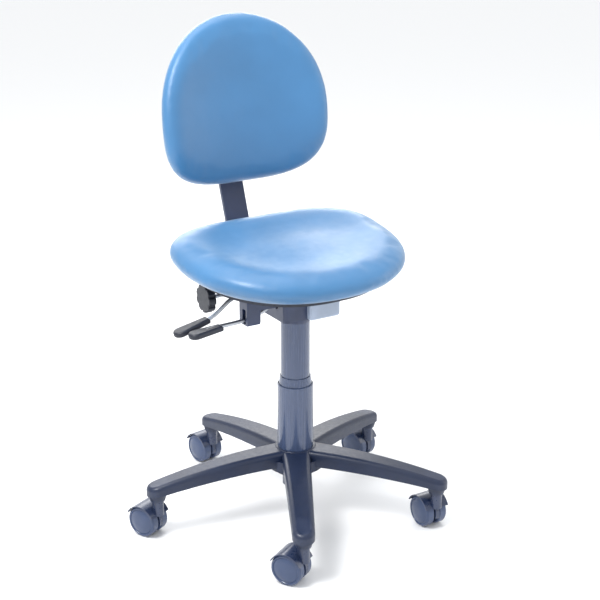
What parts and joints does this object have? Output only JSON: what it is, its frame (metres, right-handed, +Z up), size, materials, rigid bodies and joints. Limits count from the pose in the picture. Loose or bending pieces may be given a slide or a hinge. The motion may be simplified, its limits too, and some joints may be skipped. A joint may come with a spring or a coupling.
{
  "type": "dentist stool",
  "caption": "Swivelling clinic stool on a gas lift and castered star base, with a padded round seat and an adjustable curved backrest.",
  "frame": {"origin": "on the floor on the column's axis", "axes": "+Z up, the sitter faces -Y, the sitter's left is +X"},
  "size_m": [0.5981, 0.6022, 0.9474],
  "materials": {
    "nylon_base": "satin",
    "cover_gloss": "gloss",
    "steel": "satin",
    "painted_steel": "satin",
    "bush_plastic": "matte",
    "rubber": "matte",
    "cast_grey": "satin",
    "grip_plastic": "satin",
    "shell_plastic": "textured matte",
    "plywood": "raw",
    "vinyl_blue": "soft sheen",
    "caster_plastic": "gloss",
    "wheel_tread": "satin"
  },
  "bodies": {
    "base": {"base_star": "nylon_base", "hub_taper_sleeve": "steel", "stem_sockets": "steel", "column_tube": "painted_steel", "guide_bush": "bush_plastic", "thrust_bearing": "steel", "rod_clip": "steel", "cover_lower": "cover_gloss"},
    "cover_middle": {"cover_middle": "cover_gloss"},
    "piston": {"piston_rod": "steel", "bump_washer": "rubber"},
    "seat_frame": {"gas_cylinder": "steel", "rod_guide": "bush_plastic", "cover_upper": "cover_gloss", "mechanism_housing": "painted_steel", "taper_socket": "painted_steel", "side_box": "cast_grey", "lever_bracket": "painted_steel", "pivot_shafts": "steel", "lever_pins": "steel"},
    "valve": {"valve_pin": "steel"},
    "height_lever": {"height_lever": "steel", "height_lever_paddle": "grip_plastic"},
    "tilt_lever": {"tilt_lever": "steel", "tilt_lever_paddle": "grip_plastic"},
    "clutch": {"clutch_bolt": "steel"},
    "seat": {"seat_plate": "painted_steel", "seat_screws": "steel", "seat_board": "plywood", "seat_pan": "shell_plastic", "seat_cushion": "vinyl_blue"},
    "back_bracket": {"back_bracket": "painted_steel"},
    "depth_knob": {"depth_stud": "steel", "depth_knob": "grip_plastic"},
    "back_bar": {"back_bar": "painted_steel"},
    "backrest": {"back_slider": "shell_plastic", "back_screws": "steel", "back_board": "shell_plastic", "back_cushion": "vinyl_blue"},
    "height_knob": {"height_knob": "grip_plastic"},
    "caster_1": {"caster_1_hood": "caster_plastic", "caster_1_pins": "steel"},
    "caster_1_left": {"caster_1_wheel_left": "wheel_tread"},
    "caster_1_right": {"caster_1_wheel_right": "wheel_tread"},
    "caster_2": {"caster_2_hood": "caster_plastic", "caster_2_pins": "steel"},
    "caster_2_left": {"caster_2_wheel_left": "wheel_tread"},
    "caster_2_right": {"caster_2_wheel_right": "wheel_tread"},
    "caster_3": {"caster_3_hood": "caster_plastic", "caster_3_pins": "steel"},
    "caster_3_left": {"caster_3_wheel_left": "wheel_tread"},
    "caster_3_right": {"caster_3_wheel_right": "wheel_tread"},
    "caster_4": {"caster_4_hood": "caster_plastic", "caster_4_pins": "steel"},
    "caster_4_left": {"caster_4_wheel_left": "wheel_tread"},
    "caster_4_right": {"caster_4_wheel_right": "wheel_tread"},
    "caster_5": {"caster_5_hood": "caster_plastic", "caster_5_pins": "steel"},
    "caster_5_left": {"caster_5_wheel_left": "wheel_tread"},
    "caster_5_right": {"caster_5_wheel_right": "wheel_tread"}
  },
  "joints": [
    {"name": "seat_swivel", "type": "hinge", "parent": "base", "child": "piston", "pos_m": [0, 0, 0.073], "axis": [0, 0, 1], "continuous": true},
    {"name": "seat_height", "type": "slide", "parent": "piston", "child": "seat_frame", "axis": [0, 0, 1], "range_m": [-0.09, 0.05]},
    {"name": "cover_middle_slide", "type": "slide", "parent": "base", "child": "cover_middle", "axis": [0, 0, 1], "range_m": [-0.045, 0.025]},
    {"name": "height_lever_lift", "type": "hinge", "parent": "seat_frame", "child": "height_lever", "pos_m": [-0.03, -0.01, 0.448], "axis": [0, 1, 0], "range_deg": [0, 6], "stiffness_Nm_per_rad": 4, "springref_deg": -2.86},
    {"name": "valve_press", "type": "slide", "parent": "seat_frame", "child": "valve", "axis": [0, 0, 1], "range_m": [-0.0033, 0]},
    {"name": "tilt_lever_lift", "type": "hinge", "parent": "seat_frame", "child": "tilt_lever", "pos_m": [-0.101, 0.02, 0.458], "axis": [0, 1, 0], "range_deg": [0, 12]},
    {"name": "clutch_slide", "type": "slide", "parent": "seat_frame", "child": "clutch", "axis": [1, 0, 0], "range_m": [0, 0.001]},
    {"name": "seat_tilt", "type": "hinge", "parent": "seat_frame", "child": "seat", "pos_m": [0, -0.025, 0.458], "axis": [1, 0, 0], "range_deg": [-3, 6]},
    {"name": "back_tilt", "type": "hinge", "parent": "seat_frame", "child": "back_bracket", "pos_m": [0, 0.05, 0.439], "axis": [1, 0, 0], "range_deg": [-15, 3]},
    {"name": "back_depth", "type": "slide", "parent": "back_bracket", "child": "back_bar", "axis": [0, 1, 0], "range_m": [-0.005, 0.04]},
    {"name": "back_height", "type": "slide", "parent": "back_bar", "child": "backrest", "axis": [0, 0.0872, 0.9962], "range_m": [-0.03, 0.03]},
    {"name": "depth_knob_turn", "type": "hinge", "parent": "back_bracket", "child": "depth_knob", "pos_m": [-0.118, 0.12, 0.431], "axis": [1, 0, 0], "range_deg": [-180, 180]},
    {"name": "height_knob_turn", "type": "hinge", "parent": "backrest", "child": "height_knob", "pos_m": [0, 0.26379, 0.782], "axis": [0, -0.9962, 0.0872], "range_deg": [-180, 180]},
    {"name": "caster_1_swivel", "type": "hinge", "parent": "base", "child": "caster_1", "pos_m": [-0.03979, 0.27615, 0.087], "axis": [0, 0, 1], "continuous": true},
    {"name": "caster_1_roll_left", "type": "hinge", "parent": "caster_1", "child": "caster_1_left", "pos_m": [-0.04456, 0.30069, 0.0305], "axis": [-0.9816, -0.1908, 0], "continuous": true},
    {"name": "caster_1_roll_right", "type": "hinge", "parent": "caster_1", "child": "caster_1_right", "pos_m": [-0.04456, 0.30069, 0.0305], "axis": [-0.9816, -0.1908, 0], "continuous": true},
    {"name": "caster_2_swivel", "type": "hinge", "parent": "base", "child": "caster_2", "pos_m": [-0.27493, 0.04749, 0.087], "axis": [0, 0, 1], "continuous": true},
    {"name": "caster_2_roll_left", "type": "hinge", "parent": "caster_2", "child": "caster_2_left", "pos_m": [-0.28589, 0.06996, 0.0305], "axis": [-0.8988, -0.4384, 0], "continuous": true},
    {"name": "caster_2_roll_right", "type": "hinge", "parent": "caster_2", "child": "caster_2_right", "pos_m": [-0.28589, 0.06996, 0.0305], "axis": [-0.8988, -0.4384, 0], "continuous": true},
    {"name": "caster_3_swivel", "type": "hinge", "parent": "base", "child": "caster_3", "pos_m": [-0.13012, -0.2468, 0.087], "axis": [0, 0, 1], "continuous": true},
    {"name": "caster_3_roll_left", "type": "hinge", "parent": "caster_3", "child": "caster_3_left", "pos_m": [-0.143, -0.22537, 0.0305], "axis": [-0.8572, -0.515, 0], "continuous": true},
    {"name": "caster_3_roll_right", "type": "hinge", "parent": "caster_3", "child": "caster_3_right", "pos_m": [-0.143, -0.22537, 0.0305], "axis": [-0.8572, -0.515, 0], "continuous": true},
    {"name": "caster_4_swivel", "type": "hinge", "parent": "base", "child": "caster_4", "pos_m": [0.19451, -0.20002, 0.087], "axis": [0, 0, 1], "continuous": true},
    {"name": "caster_4_roll_left", "type": "hinge", "parent": "caster_4", "child": "caster_4_left", "pos_m": [0.19451, -0.17502, 0.0305], "axis": [-1, 0, 0], "continuous": true},
    {"name": "caster_4_roll_right", "type": "hinge", "parent": "caster_4", "child": "caster_4_right", "pos_m": [0.19451, -0.17502, 0.0305], "axis": [-1, 0, 0], "continuous": true},
    {"name": "caster_5_swivel", "type": "hinge", "parent": "base", "child": "caster_5", "pos_m": [0.25033, 0.12318, 0.087], "axis": [0, 0, 1], "continuous": true},
    {"name": "caster_5_roll_left", "type": "hinge", "parent": "caster_5", "child": "caster_5_left", "pos_m": [0.24386, 0.14733, 0.0305], "axis": [-0.9659, -0.2588, 0], "continuous": true},
    {"name": "caster_5_roll_right", "type": "hinge", "parent": "caster_5", "child": "caster_5_right", "pos_m": [0.24386, 0.14733, 0.0305], "axis": [-0.9659, -0.2588, 0], "continuous": true}
  ],
  "couplings": [
    {"joint": "cover_middle_slide", "follows": "seat_height", "ratio": 0.5},
    {"joint": "valve_press", "follows": "height_lever_lift", "m_per_rad": -0.03},
    {"joint": "clutch_slide", "follows": "tilt_lever_lift", "m_per_rad": 0.0045}
  ]
}
